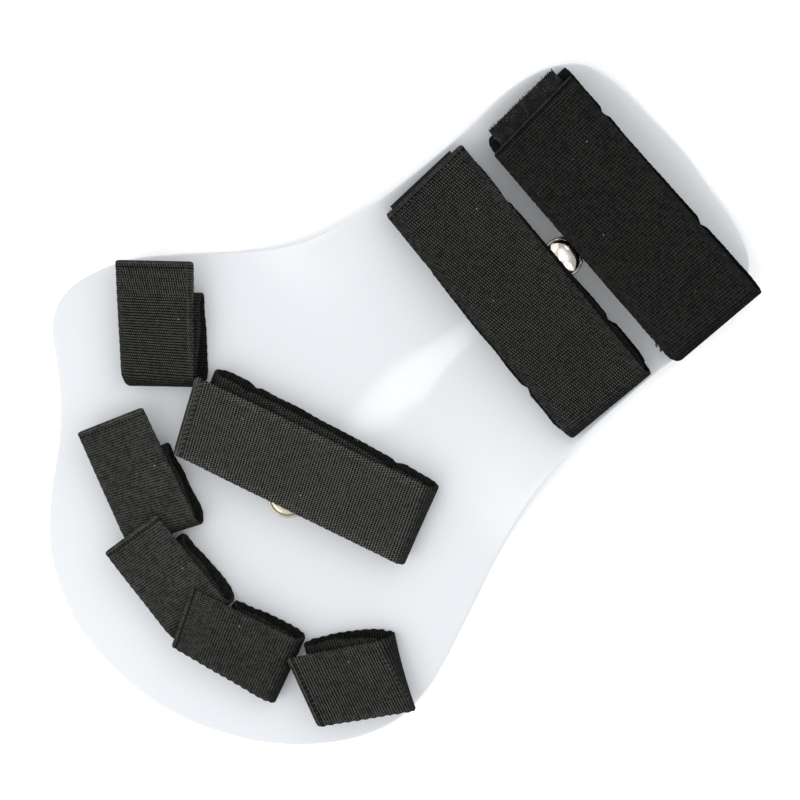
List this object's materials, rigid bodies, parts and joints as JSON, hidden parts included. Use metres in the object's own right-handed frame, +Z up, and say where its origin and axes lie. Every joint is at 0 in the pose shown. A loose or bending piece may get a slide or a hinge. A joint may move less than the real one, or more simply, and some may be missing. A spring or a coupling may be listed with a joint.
{
  "type": "hand splint",
  "caption": "Left hand resting splint: a hand-shaped white plastic board with a trough for the forearm and black webbing loops for the fingers, palm, wrist and forearm.",
  "frame": {"origin": "middle of the object's footprint, on the surface that the board rests on", "axes": "+X from the fingertips to the forearm, +Y to the thumb, +Z up from the board to the loops"},
  "size_m": [0.292, 0.205, 0.0227],
  "materials": {
    "board": "milky white polyethylene sheet with a soft gloss",
    "webbing": "charcoal ribbed polyester webbing",
    "wide_webbing": "black ribbed polyester webbing",
    "rivet": "polished nickel plate"
  },
  "bodies": {
    "root": {"board": "board", "thumb_loop": "webbing", "index_loop": "webbing", "middle_loop": "webbing", "ring_loop": "webbing", "little_loop": "webbing", "palm_strap": "webbing", "wrist_strap": "wide_webbing", "forearm_strap": "wide_webbing", "forearm_dome_rivet": "rivet", "palm_dome_rivet": "rivet", "thumb_loop_rivet": "rivet", "index_loop_rivet": "rivet", "middle_loop_rivet": "rivet", "ring_loop_rivet": "rivet", "little_loop_rivet": "rivet", "palm_strap_rivet_1": "rivet", "palm_strap_rivet_2": "rivet", "wrist_strap_rivet_1": "rivet", "wrist_strap_rivet_2": "rivet", "forearm_strap_rivet_1": "rivet", "forearm_strap_rivet_2": "rivet"}
  },
  "joints": []
}
